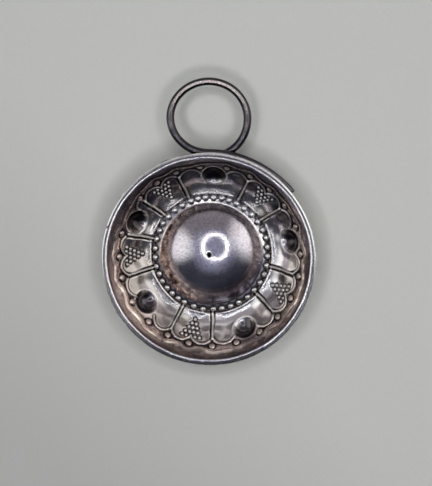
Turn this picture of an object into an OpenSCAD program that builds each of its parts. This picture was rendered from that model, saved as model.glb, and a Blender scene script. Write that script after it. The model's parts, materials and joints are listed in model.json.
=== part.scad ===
// Silver wine-taster's cup: a chased bowl with a domed boss, a rim wire and a looped finger ring.
// Millimetres. The table is z = 0, the bowl's axis is the Z axis and +Y points to the finger ring.
// Angles round the bowl run clockwise from +Y, seen from above.

/* [Bowl] */
// Diameter over the rim wire
rim_d = 75; // [72:0.5:80]
// Height from the table to the top of the lip
bowl_h = 17; // [16:0.25:20]
// Thickness of the sheet
sheet = 0.8; // [0.7:0.05:0.95]
// Radius of the ring that the bowl stands on, at its outer edge
foot_r = 22.6; // [22.2:0.1:23.2]
// Height of the upright collar at the lip
collar_h = 2.8; // [2.7:0.1:3.4]

/* [Boss] */
// Radius of the boss at its foot
boss_r = 18.4; // [17.6:0.1:18.7]
// Height of the boss above its own foot
boss_h = 6.3; // [5:0.1:7.5]
// Radius of the hollow sweep round the foot of the boss
skirt_r = 2.5; // [2:0.25:6]
// How far the foot of the boss stands above the bead channel
skirt_step = 0.5; // [0.3:0.05:0.7]

/* [Chased ornament] */
// Diameter of the beads in the channel round the boss
channel_bead_d = 1.7; // [1.4:0.1:2]
// Diameter of the beads along the border of the lobes
border_bead_d = 2; // [1.6:0.1:2.3]
// Diameter of one grape
grape_d = 1.35; // [1:0.05:1.5]
// Width of the cords between the lobes
cord_d = 1.2; // [1:0.1:1.4]
// How far inside the lip the cords end, seen from above
cord_in = 6.55; // [6.15:0.1:6.75]
// How far the arches of the lobes rise past the ends of the cords, seen from above
arch_run = 1.8; // [1.5:0.1:2]
// Diameter of the swellings where cords and arches run together
knob_d = 1.5; // [1.4:0.05:1.55]
// Width of the arches
arch_w = 0.9; // [0.7:0.1:1]
// How far the arches stand out from the sheet
arch_h = 0.35; // [0.25:0.05:0.45]
// How far inside the lip the middles of the border beads lie
border_in = 4.2; // [3.8:0.1:4.6]
// Diameter of the cup hollows
cup_d = 9; // [8:0.2:9.4]
// Depth of the cup hollows
cup_depth = 2; // [1.4:0.1:2.4]
// How far inside the border beads the middles of the cup hollows lie
cup_in = 3.35; // [3.15:0.1:3.55]
// How far outward from the foot the tips of the bunches lie
tip_out = 1.6; // [1.4:0.1:2]
// Length of a bunch from its tip to its widest row, seen from above
bunch_run = 4.4; // [4:0.1:4.6]

/* [Rim wire] */
// Height of the half-round rim wire
rim_wire_h = 2.2; // [1.8:0.1:2.4]
// Width of the butt joint in the rim wire
seam_w = 0.4; // [0.2:0.05:0.8]

/* [Handle wire] */
// Diameter of the handle wire
wire_d = 2.75; // [2.3:0.05:3]
// Width of the finger ring between the middles of the wire
ring_w = 26.6; // [24:0.2:30]
// Length of the finger ring between the middles of the wire
ring_l = 24.5; // [22:0.2:28]
// Diameter of the wire at the tip of the tail
tail_tip_d = 1.7; // [1:0.1:2.2]
// Angle that the tail reaches round the bowl
tail_deg = 50; // [36:1:60]
// How far the tip of the tail springs away from the wall
tail_spring = 1.1; // [0:0.1:2]
// Angle that the blunt end reaches round the bowl, on the other side
blunt_deg = 39; // [32:1:48]
// Greatest diameter of the blunt end
blunt_d = 3.3; // [2.8:0.1:3.8]
// Diameter of the neck behind the blunt end
neck_d = 2.4; // [2:0.1:2.8]

/* [Hidden] */
$fn = 96;
silver = [0.68, 0.66, 0.63];
rim_silver = [0.74, 0.73, 0.71];
handle_silver = [0.62, 0.61, 0.6];
solder_silver = [0.55, 0.54, 0.52];
// solder film between two soldered faces
film = 0.05;

// where the cords between the lobes stand
cord_at = [-21.5, 26.5, 55, 101.5, 131, 178.5, 208, 256, 284.5, 310];
// number of channel beads between each cord and the next
beads_between = [5, 2, 4, 2, 4, 2, 5, 2, 2, 2];
// middles of the five cup hollows and of the five bunches of grapes
cup_at = [2.7, 79, 154.5, 233.5, 294.5];
bunch_at = [41, 116.5, 193.6, 269.5, 324.7];
// places of the border beads beside the first four cups
flank_at = [[-6, 11], [70, 87.5], [146, 162.5], [222.8, 239.3]];
// place beside the cup of the narrow lobe where the only arch of that lobe starts
narrow_stop = 303.5;
// ends of each arch, two in a lobe, beside its cup or over its bunch
arch_ends = [
  for (i = [0 : len(cord_at) - 1])
    let (
      to = i < len(cord_at) - 1 ? cord_at[i + 1] : cord_at[0] + 360,
      middle = i % 2 == 1 ? bunch_at[(i - 1) / 2] : 0,
      pairs = i % 2 == 1
        ? [[cord_at[i], middle], [middle, to]]
        : i < 8
          ? [[cord_at[i], flank_at[i / 2][0]], [flank_at[i / 2][1], to]]
          : [[narrow_stop, to]]
    )
      each pairs
];
// grapes in each row of a bunch, from its tip up; the last row leaves a gap in its middle
grape_rows = [1, 2, 3, 4];
// place of the butt joint in the rim wire
seam_at = 288;

// side: part of a ball that stands on the foot's edge and reaches the foot of the collar
rim_r = rim_wire_h / 2;
lip_r = rim_d / 2 - rim_r - film;
collar_z = bowl_h - collar_h;
side_cz = (lip_r * lip_r + collar_z * collar_z - foot_r * foot_r) / (2 * collar_z);
side_ro = norm([foot_r, side_cz]);
side_ri = side_ro - sheet;
// radius of the side at a height, on a ball with the same middle
function side_x(ball, z) = sqrt(ball * ball - (side_cz - z) * (side_cz - z));
floor_r = side_x(side_ri, sheet);
mouth_r = side_x(side_ri, collar_z);
lip_w = lip_r - mouth_r;
// slope of the inner face where it has a given radius
function slope_at(r) = asin(r / side_ri);
function height_at(r) = side_cz - side_ri * cos(slope_at(r));

// boss: a round cap that flows into a hollow sweep
boss_foot_z = sheet + skirt_step;
boss_sum = (boss_r * boss_r + boss_h * boss_h) / (2 * boss_h);
cap_r = boss_sum - skirt_r;
cap_z = boss_foot_z + boss_h - cap_r;
skirt_z = boss_foot_z + skirt_r;

// ornament
channel_r = (boss_r + floor_r) / 2;
notch_r = lip_r - cord_in;
arch_r = notch_r + arch_run;
border_r = lip_r - border_in;
cup_r = border_r - cup_in;
tip_r = foot_r + tip_out;
cup_ball = (cup_d * cup_d / 4 + cup_depth * cup_depth) / (2 * cup_depth);
// height of a raised round above the sheet that keeps its underside within the sheet
function lift(r) = max(0.1, r - 0.75 * sheet);

// handle wire: two turns lie one above the other against the wall, under the rim wire
wire_r = wire_d / 2;
rim_bottom = bowl_h - rim_wire_h;
fillet = 0.5;
tail_z = rim_bottom - fillet - 2 * film - wire_r;
// radius of the middle of a wire of radius r that lies against the side at height z
function hug(r, z) = side_x(side_ro + film + r, z);
tail_r = hug(wire_r, tail_z);
wall_tilt = atan2(tail_r, side_cz - tail_z);
blunt_z = tail_z - (wire_d + 2 * film) * sin(wall_tilt);
blunt_r = hug(wire_r, blunt_z);
taper_from = 12;
wire_sides = 14;

// Places its children on the inner face of the side: X along the rim, Y up the side, Z into the bowl
module on_side(deg, r, up = 0) {
  rotate(-deg)
    translate([0, r, height_at(r)])
      rotate([slope_at(r), 0, 0])
        translate([0, 0, up])
          children();
}

// Region under the boss: its upper face, or a face lower by a given thickness
module under_boss(down) {
  cap = cap_r - down;
  join_z = cap_z + cap * (skirt_z - cap_z) / boss_sum;
  intersection() {
    translate([0, cap_z])
      circle(r = cap + film);
    square([boss_r, 2 * cap_r]);
  }
  difference() {
    square([boss_r, join_z]);
    translate([boss_r, skirt_z])
      circle(r = skirt_r + down);
  }
}

// Section of the boss
module boss_section() {
  difference() {
    under_boss(0);
    under_boss(sheet);
  }
}

// Section of the side below the collar
module side_section() {
  intersection() {
    translate([0, side_cz])
      difference() {
        circle(r = side_ro);
        circle(r = side_ri);
      }
    translate([channel_r, 0])
      square([lip_r, collar_z]);
  }
}

// Section of the upright collar, crowned at the lip
module collar_section() {
  crown = 0.6 * lip_w;
  intersection() {
    translate([mouth_r, collar_z])
      square([lip_w, collar_h]);
    union() {
      translate([mouth_r + lip_w / 2, bowl_h - crown])
        circle(r = crown);
      translate([mouth_r - lip_w, 0])
        square([3 * lip_w, bowl_h - crown]);
    }
  }
}

// Whole section of the sheet, from the axis to the lip
module sheet_section() {
  boss_section();
  translate([boss_r - sheet, 0])
    square([floor_r - boss_r + sheet, sheet]);
  side_section();
  collar_section();
}

// Outside of the sheet where a cup hollow is pushed out
module cup_backs() {
  for (deg = cup_at)
    on_side(deg, cup_r)
      intersection() {
        translate([0, 0, cup_ball - cup_depth])
          sphere(r = cup_ball + sheet);
        translate([-cup_d, -cup_d, -cup_d - sheet / 2])
          cube([2 * cup_d, 2 * cup_d, cup_d]);
      }
}

// Space inside the cup hollows
module cup_hollows() {
  for (deg = cup_at)
    on_side(deg, cup_r, cup_ball - cup_depth)
      sphere(r = cup_ball);
}

// Beads standing in the channel round the boss, one of them at the foot of each cord
module channel_beads() {
  r = channel_bead_d / 2;
  for (i = [0 : len(cord_at) - 1]) {
    from = cord_at[i];
    to = i < len(cord_at) - 1 ? cord_at[i + 1] : cord_at[0] + 360;
    for (k = [0 : beads_between[i]])
      rotate(-from - (to - from) * k / (beads_between[i] + 1))
        translate([0, channel_r, sheet + lift(r)])
          sphere(r = r, $fn = 32);
  }
}

// One cord between two lobes
module cord(deg) {
  foot_slope = slope_at(floor_r + cord_d / 2);
  half = (slope_at(notch_r) - foot_slope) / 2;
  // the cord is straight, so its middle stands clear of the hollow side
  clear = side_ri * (1 - cos(half));
  on_side(deg, side_ri * sin(foot_slope + half), clear + lift(cord_d / 2))
    rotate([-90, 0, 0])
      cylinder(d = cord_d, h = 2 * side_ri * sin(half), center = true, $fn = 32);
}

// Swelling where the lines of two lobes run together
module knob(deg) {
  on_side(deg, notch_r)
    sphere(d = knob_d, $fn = 32);
}

// Bead on the border of the lobes
module border_bead(deg) {
  r = border_bead_d / 2;
  on_side(deg, border_r, lift(r))
    sphere(r = r, $fn = 32);
}

// Piece of a tube square to the side, over one arch of a lobe
module arch(from, to) {
  half = notch_r * sin((to - from) / 2);
  rise = side_ri * (slope_at(arch_r) - slope_at(notch_r)) * PI / 180;
  bend = (half * half + rise * rise) / (2 * rise);
  middle = slope_at(arch_r) - bend / side_ri * 180 / PI;
  on_side((from + to) / 2, side_ri * sin(middle), -2)
    intersection() {
      difference() {
        cylinder(r = bend + arch_w / 2, h = 4);
        translate([0, 0, -1])
          cylinder(r = bend - arch_w / 2, h = 6);
      }
      translate([-2 * bend, bend - rise - arch_w / 3, 0])
        cube([4 * bend, 2 * bend, 4]);
    }
}

// Raised arches that close the lobes at the top
module arches() {
  intersection() {
    translate([0, 0, side_cz])
      difference() {
        sphere(r = side_ri + sheet / 2);
        sphere(r = side_ri - arch_h);
      }
    for (ends = arch_ends)
      arch(ends[0], ends[1]);
  }
}

// Bunch of grapes with its tip toward the boss
module bunch(deg) {
  r = grape_d / 2;
  rows = len(grape_rows);
  pitch = 1.12 * grape_d;
  for (i = [0 : rows])
    for (k = [0 : i < rows ? grape_rows[i] - 1 : 3]) {
      row_r = tip_r + bunch_run * i / (rows - 1);
      across = i < rows ? k - (grape_rows[i] - 1) / 2 : k < 2 ? k - 2.1 : k - 0.9;
      on_side(deg + across * pitch / row_r * 180 / PI, row_r, lift(r))
        sphere(r = r, $fn = 24);
    }
}

// Sheet of the bowl with its cup hollows
module raised_sheet() {
  difference() {
    union() {
      rotate_extrude()
        sheet_section();
      cup_backs();
    }
    cup_hollows();
  }
}

// Bowl: one raised sheet with its chased ornament
module bowl() {
  color(silver)
    union() {
      raised_sheet();
      arches();
      channel_beads();
      for (deg = cord_at) {
        cord(deg);
        knob(deg);
        border_bead(deg);
      }
      for (deg = bunch_at) {
        bunch(deg);
        knob(deg);
        border_bead(deg);
      }
      for (pair = flank_at, deg = pair)
        border_bead(deg);
    }
}

// Section of the half-round rim wire, on a flat back against the collar
module rim_section(r) {
  intersection() {
    translate([lip_r + film, bowl_h - rim_r])
      circle(r = r);
    translate([lip_r + film, 0])
      square([2 * rim_r, 2 * bowl_h]);
  }
}

// Rim wire round the outside of the lip, open at its butt joint
module rim_wire() {
  seam_deg = seam_w / (rim_d / 2) * 180 / PI;
  color(rim_silver)
    rotate(90 - seam_at + seam_deg / 2)
      rotate_extrude(angle = 360 - seam_deg)
        rim_section(rim_r);
}

// Solder that fills the butt joint
module rim_seam() {
  seam_deg = seam_w / (rim_d / 2) * 180 / PI;
  color(solder_silver)
    rotate(90 - seam_at - seam_deg / 2)
      rotate_extrude(angle = seam_deg)
        rim_section(rim_r - 0.1);
}

// Solder fillet under the rim wire, with its upper face laid along the wire
module rim_solder() {
  lean = 13;
  touch = [lip_r + film + rim_r * sin(lean), bowl_h - rim_r * (1 + cos(lean)) - film / 4];
  function along(x) = [x, touch.y + (x - touch.x) * tan(lean)];
  color(solder_silver)
    rotate_extrude()
      polygon([[lip_r, rim_bottom - fillet], along(lip_r + fillet), along(lip_r)]);
}

// Radius of the wire along its blunt end, from the wall under the ring outward
function blunt_wire_r(deg) =
  lookup(deg, [
    [0, wire_r],
    [blunt_deg / 5, neck_d / 2],
    [blunt_deg - 19, neck_d / 2],
    [blunt_deg - 16, blunt_d / 2],
    [blunt_deg - 13, blunt_d / 2],
    [blunt_deg - 4, 0.38 * blunt_d],
    [blunt_deg, 0.22 * blunt_d]
  ]);
// Point and radius of the wire along its blunt end, along the finger ring and along the tail
function blunt_point(deg) =
  let (
    w = blunt_wire_r(deg),
    r = hug(w, blunt_z)
  ) [-r * sin(deg), r * cos(deg), blunt_z, w];
function ring_point(t) =
  let (
    part = min(1, max(0, (t - 38) / 284)),
    climb = part * part * (3 - 2 * part),
    near = blunt_r + (tail_r - blunt_r) * climb,
    half = (tail_r + ring_l - near) / 2
  ) [ring_w / 2 * sin(t), near + half * (1 - cos(t)), blunt_z + (tail_z - blunt_z) * climb, wire_r];
function tail_point(deg) =
  let (
    free = max(0, deg - taper_from) / (tail_deg - taper_from),
    r = tail_r + tail_spring * free * free
  ) [r * sin(deg), r * cos(deg), tail_z, wire_r + (tail_tip_d / 2 - wire_r) * free];

// Handle wire: blunt end, finger ring and tapering tail in one coiled wire
module handle_wire() {
  blunt_steps = 30;
  ring_steps = 72;
  tail_steps = 22;
  core = concat(
    [for (i = [blunt_steps : -1 : 1]) blunt_point(blunt_deg * i / blunt_steps)],
    [for (i = [0 : ring_steps]) ring_point(360 * i / ring_steps)],
    [for (i = [1 : tail_steps]) tail_point(tail_deg * i / tail_steps)]
  );
  last = len(core) - 1;
  function flat(p) = [p.x, p.y];
  function unit(v) = v / norm(v);
  function dir(i) = unit(flat(core[min(i + 1, last)]) - flat(core[max(i - 1, 0)]));
  // ring of points round the wire at place i, moved on along the wire and made thinner for a round end
  function section(i, on = 0, thin = 1) =
    let (
      p = core[i],
      d = dir(i),
      r = p[3] * thin,
      x = p.x + d.x * on * p[3],
      y = p.y + d.y * on * p[3]
    ) [
      for (k = [0 : wire_sides - 1])
        let (a = 360 * k / wire_sides) [x - d.y * r * cos(a), y + d.x * r * cos(a), p.z + r * sin(a)]
    ];
  sections = concat(
    [for (e = [75, 50, 25]) section(0, -sin(e), cos(e))],
    [for (i = [0 : last]) section(i)],
    [for (e = [25, 50, 75]) section(last, sin(e), cos(e))]
  );
  n = len(sections);
  color(handle_silver)
    polyhedron(
      points = [for (s = sections, p = s) p],
      faces = concat(
        [[for (k = [0 : wire_sides - 1]) k]],
        [
          for (i = [0 : n - 2], k = [0 : wire_sides - 1])
            let (m = (k + 1) % wire_sides)
              [i * wire_sides + k, (i + 1) * wire_sides + k, (i + 1) * wire_sides + m, i * wire_sides + m]
        ],
        [[for (k = [wire_sides - 1 : -1 : 0]) (n - 1) * wire_sides + k]]
      )
    );
}

// Solder fillet under a wire of radius r that lies against the wall at height z
module wall_fillet(r, z, from, to) {
  x = hug(r, z);
  tilt = atan2(x, side_cz - z);
  touch = [side_ro * sin(tilt), side_cz - side_ro * cos(tilt)];
  down = [-cos(tilt), -sin(tilt)];
  out = [sin(tilt), -cos(tilt)];
  rotate(90 - to)
    rotate_extrude(angle = to - from)
      difference() {
        polygon([touch, touch + 1.5 * down, touch + 1.1 * down + 0.6 * out]);
        translate([0, side_cz])
          circle(r = side_ro, $fn = 720);
        translate([x, z])
          circle(r = r + film / 2);
      }
}

// Solder under the neck and under the start of the tail
module handle_solder() {
  color(solder_silver) {
    wall_fillet(neck_d / 2, blunt_z, 19 - blunt_deg, -blunt_deg / 5);
    wall_fillet(wire_r, tail_z, 5, taper_from);
  }
}

bowl();
rim_wire();
rim_seam();
rim_solder();
handle_wire();
handle_solder();
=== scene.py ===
# %% [markdown]
# # A silver wine-taster's cup
# The object is a shallow silver cup for tasting wine by candle light. One sheet of silver is raised to a
# bowl with a domed boss, chased with lobes, beads, cup-shaped hollows and bunches of grapes, and it has a
# half-round wire round its lip and one coiled wire for a finger ring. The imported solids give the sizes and
# places, apart from small changes that are named where they come. This script builds the pieces again with
# the relief and the finish that the eye sees, in metres.

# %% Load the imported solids
import json
import math
import bmesh
import bpy
import numpy as np
from mathutils import Matrix, Vector

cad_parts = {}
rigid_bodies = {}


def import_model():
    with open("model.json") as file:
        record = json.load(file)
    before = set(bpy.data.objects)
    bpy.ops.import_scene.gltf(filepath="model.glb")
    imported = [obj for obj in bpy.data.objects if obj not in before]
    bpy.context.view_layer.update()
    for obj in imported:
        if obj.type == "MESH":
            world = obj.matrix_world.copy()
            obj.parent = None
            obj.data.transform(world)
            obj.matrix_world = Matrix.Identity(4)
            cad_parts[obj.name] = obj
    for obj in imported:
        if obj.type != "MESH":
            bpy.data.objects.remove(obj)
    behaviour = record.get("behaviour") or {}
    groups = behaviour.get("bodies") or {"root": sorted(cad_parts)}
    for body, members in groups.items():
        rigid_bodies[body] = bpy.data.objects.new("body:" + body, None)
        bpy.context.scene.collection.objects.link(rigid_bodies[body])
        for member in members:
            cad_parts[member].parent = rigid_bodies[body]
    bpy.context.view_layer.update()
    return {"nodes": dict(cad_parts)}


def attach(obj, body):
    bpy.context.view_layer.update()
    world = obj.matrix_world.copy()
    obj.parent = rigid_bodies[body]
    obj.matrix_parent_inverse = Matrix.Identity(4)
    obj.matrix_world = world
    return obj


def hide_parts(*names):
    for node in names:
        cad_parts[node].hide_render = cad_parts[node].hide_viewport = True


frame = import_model()
MM = 0.001
print("solids:", sorted(frame["nodes"]))

# %% [markdown]
# ## Section of the sheet
# Before it is chased, the bowl is a body of revolution: boss, hollow sweep, bead channel, a side that is part
# of a ball, an upright collar and a rounded lip, all in one sheet 0.8 mm thick. A Screw modifier could turn a
# drawn profile, but the chasing needs a fine grid where the ornament is and a coarse one elsewhere, so the
# profile is worked out as points here and turned in code. The sizes are those of the solids, apart from the
# foot of the boss, which is a little wider and crisper, and the foot of the lobes, which is bevelled.

# %% Sizes of the sheet, in millimetres
RIM_D, BOWL_H, SHEET, FOOT_R, COLLAR_H = 75.0, 17.0, 0.8, 22.6, 2.8
BOSS_R, BOSS_H, SKIRT_R, SKIRT_STEP = 18.8, 6.3, 1.2, 0.5
RIM_WIRE_H, FILM = 2.2, 0.05
rim_r = RIM_WIRE_H / 2
lip_r = RIM_D / 2 - rim_r - FILM
collar_z = BOWL_H - COLLAR_H
# the side is part of a ball that stands on the foot and reaches the collar
side_cz = (lip_r ** 2 + collar_z ** 2 - FOOT_R ** 2) / (2 * collar_z)
side_ro = math.hypot(FOOT_R, side_cz)
side_ri = side_ro - SHEET


def side_x(ball, z):
    """Radius of the side at height z, on a ball with the same middle."""
    return math.sqrt(ball ** 2 - (side_cz - z) ** 2)


floor_r = side_x(side_ri, SHEET)
mouth_r = side_x(side_ri, collar_z)
lip_w = lip_r - mouth_r
# the boss is a round cap that flows into a hollow sweep
foot_z = SHEET + SKIRT_STEP
boss_sum = (BOSS_R ** 2 + BOSS_H ** 2) / (2 * BOSS_H)
cap_r = boss_sum - SKIRT_R
cap_z = foot_z + BOSS_H - cap_r
skirt_z = foot_z + SKIRT_R
cap_deg = math.degrees(math.asin(BOSS_R / boss_sum))
print(f"side ball {side_ri:.2f} mm, floor to {floor_r:.2f} mm, mouth {mouth_r:.2f} mm")


# %% Inner and outer line of the section
def arc(cx, cz, r, a0, a1, steps=90):
    """Points on a circle in section; angles run from straight down toward the rim."""
    a = np.radians(np.linspace(a0, a1, steps))
    return np.column_stack([cx + r * np.sin(a), cz - r * np.cos(a)])


def slope(r, ball):
    """Slope of the side, in degrees, where it has radius r."""
    return math.degrees(math.asin(r / ball))


# the lobes end in a bevel above the bead channel; run and rise of their foot from the bevel's top edge
BEVEL_R, BEVEL_W, BEVEL_H, RISE_R = 21.4, 0.6, 0.7, 28.0
LOBE_FOOT = [(0, 0), (0.6, 0.03), (2.5, 0.32), (3.4, 0.7)]
shelf_r, shelf_z = BEVEL_R + BEVEL_W, SHEET + BEVEL_H
crown = 0.6 * lip_w
crown_deg = math.degrees(math.asin(lip_w / 2 / crown))
under_deg = math.degrees(math.asin(SHEET / (SKIRT_R + SHEET)))
inner_line = np.vstack([
    arc(0, cap_z, cap_r, 180, 180 - cap_deg),
    arc(BOSS_R, skirt_z, SKIRT_R, -cap_deg, 0),
    [[BEVEL_R, SHEET]],
    [[shelf_r + run, shelf_z + rise] for run, rise in LOBE_FOOT],
    arc(0, side_cz, side_ri, slope(RISE_R, side_ri), slope(mouth_r, side_ri)),
    arc(mouth_r + lip_w / 2, BOWL_H - crown, crown, crown_deg - 180, -180),
])
outer_line = np.vstack([
    arc(mouth_r + lip_w / 2, BOWL_H - crown, crown, -180, -180 - crown_deg),
    [[lip_r, collar_z]],
    arc(0, side_cz, side_ro, slope(lip_r, side_ro), slope(FOOT_R, side_ro)),
    [[BOSS_R - SHEET, 0]],
    arc(BOSS_R, skirt_z, SKIRT_R + SHEET, -under_deg, -cap_deg),
    arc(0, cap_z, cap_r - SHEET, 180 - cap_deg, 180),
])
print("section drawn with", len(inner_line), "and", len(outer_line), "points")


# %% [markdown]
# A sheet raised with hammers has no sharp inner corners, so the line is eased: each point moves a little
# toward its neighbours, often and freely where floor and side meet, hardly at all at the crisp foot of the
# boss and at the bevel, and not at the lip. A Bevel modifier would round every corner alike.

# %% Ease the corners of the section
EASE_STEP, FINE_STEP = 0.05, 0.02
ALL_TURNS, FOOT_TURNS = 300, 1100
# how freely a point moves: in general, near the foot of the boss and near the bevel
GIVE, BOSS_GIVE, BEVEL_GIVE = 0.5, 0.08, 0.04
# middle of the lobes' foot, outward from the bevel, and its reach
FOOT_OUT, FOOT_REACH = 3.6, 2.0


def walk(line, step):
    """The same line with evenly spaced points, and the length walked at each."""
    ends = np.concatenate([[0], np.cumsum(np.hypot(*np.diff(line, axis=0).T))])
    keep = np.concatenate([[True], np.diff(ends) > 1e-9])
    s = np.linspace(0, ends[-1], int(ends[-1] / step) + 1)
    return np.column_stack([np.interp(s, ends[keep], line[keep, i]) for i in (0, 1)]), s


def eased(line):
    """Gives way everywhere at first, then only at the foot of the lobes."""
    line, _ = walk(line, EASE_STEP)
    r, z = line.T
    give = np.full(len(r), GIVE)
    give[np.abs(r - BOSS_R) < 1.0] = BOSS_GIVE
    give[np.abs(r - BEVEL_R - BEVEL_W / 2) < 0.8] = BEVEL_GIVE
    give[z > collar_z - 0.6] = 0.0
    give[[0, -1]] = 0.0
    lobe_foot = np.exp(-((r - shelf_r - FOOT_OUT) / FOOT_REACH) ** 2)
    for turn in range(ALL_TURNS + FOOT_TURNS):
        pull = give if turn < ALL_TURNS else give * lobe_foot
        line[1:-1] += pull[1:-1, None] * (line[:-2] + line[2:] - 2 * line[1:-1]) / 2
    return walk(line, FINE_STEP)


inner_line, inner_s = eased(inner_line)
outer_line, outer_s = eased(outer_line)
print(f"section: {inner_s[-1]:.1f} mm inside, {outer_s[-1]:.1f} mm outside")


# %% [markdown]
# ## The sheet as a grid of rings
# Each ring of the grid has a radius, a height and a number of columns. The chased zone has 720 columns and
# a ring about every quarter of a millimetre, so that a grape 1.2 mm wide is about five points across. The
# boss and the outside have fewer, joined by rows of five-sided faces where the number halves. Subdividing an
# even grid would be simpler, but it would spend most of its faces where the sheet is plain.

# %% Rings of the sheet
def along_inner(r):
    """Length walked along the inner line at radius r."""
    return float(np.interp(r, inner_line[:, 0], inner_s))


def ring_rows(line, s, bands):
    """Rings at even steps along a section line; a band is from, to, step and columns."""
    rows = []
    for start, end, step, columns in bands:
        at = np.linspace(start, end, max(2, int(round((end - start) / step)) + 1))
        rows += [(np.interp(a, s, line[:, 0]), np.interp(a, s, line[:, 1]), columns) for a in at]
    return rows


CHASED_FROM_R, UNDER_BOSS_R = 17.9, 16.4
chased_from, chased_to = along_inner(CHASED_FROM_R), along_inner(mouth_r - 0.02)
lip_at, end_s = inner_s[-1], outer_s[-1]
# the outer line passes that radius twice; the second time, past 20 mm, is under the boss
under_boss = outer_s[np.argmin(np.abs(outer_line[:, 0] - UNDER_BOSS_R) + 99 * (outer_s < 20))]
inner_rows = ring_rows(inner_line, inner_s, [
    (0.12, 1.2, 0.12, 90),  # round the punched dot
    (1.6, along_inner(4.2), 0.6, 90),  # top of the boss
    (along_inner(4.9), along_inner(16.8), 0.7, 180),  # flank of the boss
    (along_inner(17.2), along_inner(17.6), 0.3, 360),
    (chased_from, chased_to, 0.27, 720),  # foot of the boss to the collar
    (chased_to + 0.4, lip_at - 0.75, 0.4, 720),  # collar
    (lip_at - 0.6, lip_at, 0.15, 720),  # lip
])
outer_rows = ring_rows(outer_line, outer_s, [
    (0.15, 0.75, 0.15, 720),  # lip
    (1.1, under_boss, 0.9, 360),  # outside and standing ring
    (under_boss + 0.8, end_s - 4.9, 0.9, 180),  # hollow of the boss
    (end_s - 4.2, end_s - 0.7, 0.8, 90),
])
print(len(inner_rows), "rings inside,", len(outer_rows), "outside")


# %% Turn the rings into a closed mesh
def link_mesh(name, verts, faces, edges=()):
    """New object in the scene from points in millimetres."""
    mesh = bpy.data.meshes.new(name)
    mesh.from_pydata(np.asarray(verts, float) * MM, edges, faces)
    obj = bpy.data.objects.new(name, mesh)
    bpy.context.scene.collection.objects.link(obj)
    return obj


def tidy_normals(obj):
    """Faces outward and smooth."""
    bm = bmesh.new()
    bm.from_mesh(obj.data)
    bmesh.ops.recalc_face_normals(bm, faces=bm.faces)
    bm.to_mesh(obj.data)
    bm.free()
    obj.data.shade_smooth()


def turned(name, rows):
    """Closed mesh of rings from pole to pole; neighbours have equal, half or double columns."""
    verts, faces, starts = [[0, 0, rows[0][1]]], [], []
    for r, z, n in rows:
        a = 2 * np.pi * np.arange(n) / n
        starts.append(len(verts))
        verts += np.column_stack([r * np.sin(a), r * np.cos(a), np.full(n, z)]).tolist()
    verts.append([0, 0, rows[-1][1]])
    for (ra, rb), a, b in zip(zip(rows, rows[1:]), starts, starts[1:]):
        na, nb = ra[2], rb[2]
        for k in range(min(na, nb)):
            m = (k + 1) % min(na, nb)
            if na == nb:
                faces.append((a + k, a + m, b + m, b + k))
            elif nb == 2 * na:
                faces.append((a + k, a + m, b + 2 * m, b + 2 * k + 1, b + 2 * k))
            else:
                faces.append((a + 2 * k, a + 2 * k + 1, a + 2 * m, b + m, b + k))
    n0, n1 = rows[0][2], rows[-1][2]
    faces += [(0, starts[0] + (k + 1) % n0, starts[0] + k) for k in range(n0)]
    faces += [(len(verts) - 1, starts[-1] + k, starts[-1] + (k + 1) % n1) for k in range(n1)]
    obj = link_mesh(name, verts, faces)
    tidy_normals(obj)
    return obj


bowl = turned("bowl_sheet", inner_rows + outer_rows)
print("sheet:", len(bowl.data.polygons), "faces")

# %% What each point of the sheet carries
# hammer marks are deepest on the lobes: radius in millimetres, and strength there
HAMMER_R, HAMMER_PART = [18, 22, 24, 30, 33], [0.6, 0.6, 3.2, 3.2, 1.2]
inner_count = 1 + sum(n for _, _, n in inner_rows)
facing = np.full(len(bowl.data.vertices), -1.0)
facing[:inner_count] = 1.0
from_axis = np.hypot(*np.array([v.co[:2] for v in bowl.data.vertices]).T) / MM
struck = np.interp(from_axis, HAMMER_R, HAMMER_PART)
for name, values in (("facing", facing), ("struck", struck), ("relief", 0 * facing)):
    bowl.data.attributes.new(name, "FLOAT", "POINT").data.foreach_set("value", values)
print(inner_count, "points face up into the bowl,", len(facing) - inner_count, "face out")


# %% [markdown]
# ## Chasing with punches
# A silversmith chases such a bowl with a handful of steel punches: a bead punch, a ring punch, liners for
# cords and arches, a ball for the hollows. Here one Geometry Nodes tree is the punch. Its guide is an object
# whose points or lines say where to strike; the distance to the guide gives a profile of a set width, height
# and edge, which goes into a stored value, relief. An edge of 0.5 gives a round bead, 1 a crisp dish and 2 a
# soft swelling. Sculpting by hand could do the same, but a tree keeps each width and height as a number.

# %% A node with its settings and links
def add(tree, kind, inputs=None, **settings):
    """Adds one node; inputs are values, or sockets to link from, by name or number."""
    node = tree.nodes.new(kind)
    for name, value in settings.items():
        setattr(node, name, value)
    for key, value in (inputs or {}).items():
        if isinstance(value, bpy.types.NodeSocket):
            tree.links.new(value, node.inputs[key])
        else:
            node.inputs[key].default_value = value
    return node


def new_tree(name, sockets):
    """Geometry tree with a geometry in and out and named inputs; returns it with its input node."""
    tree = bpy.data.node_groups.new(name, "GeometryNodeTree")
    tree.interface.new_socket("Geometry", in_out="INPUT", socket_type="NodeSocketGeometry")
    for socket, kind in sockets.items():
        tree.interface.new_socket(socket, in_out="INPUT", socket_type="NodeSocket" + kind)
    tree.interface.new_socket("Geometry", in_out="OUTPUT", socket_type="NodeSocketGeometry")
    return tree, add(tree, "NodeGroupInput")


def use_tree(obj, tree, **values):
    """Puts a tree on an object and sets its named inputs by their identifiers."""
    modifier = obj.modifiers.new(tree.name, "NODES")
    modifier.node_group = tree
    for item in tree.interface.items_tree:
        if item.in_out == "INPUT" and item.name in values:
            modifier[item.identifier] = values[item.name]


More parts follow.
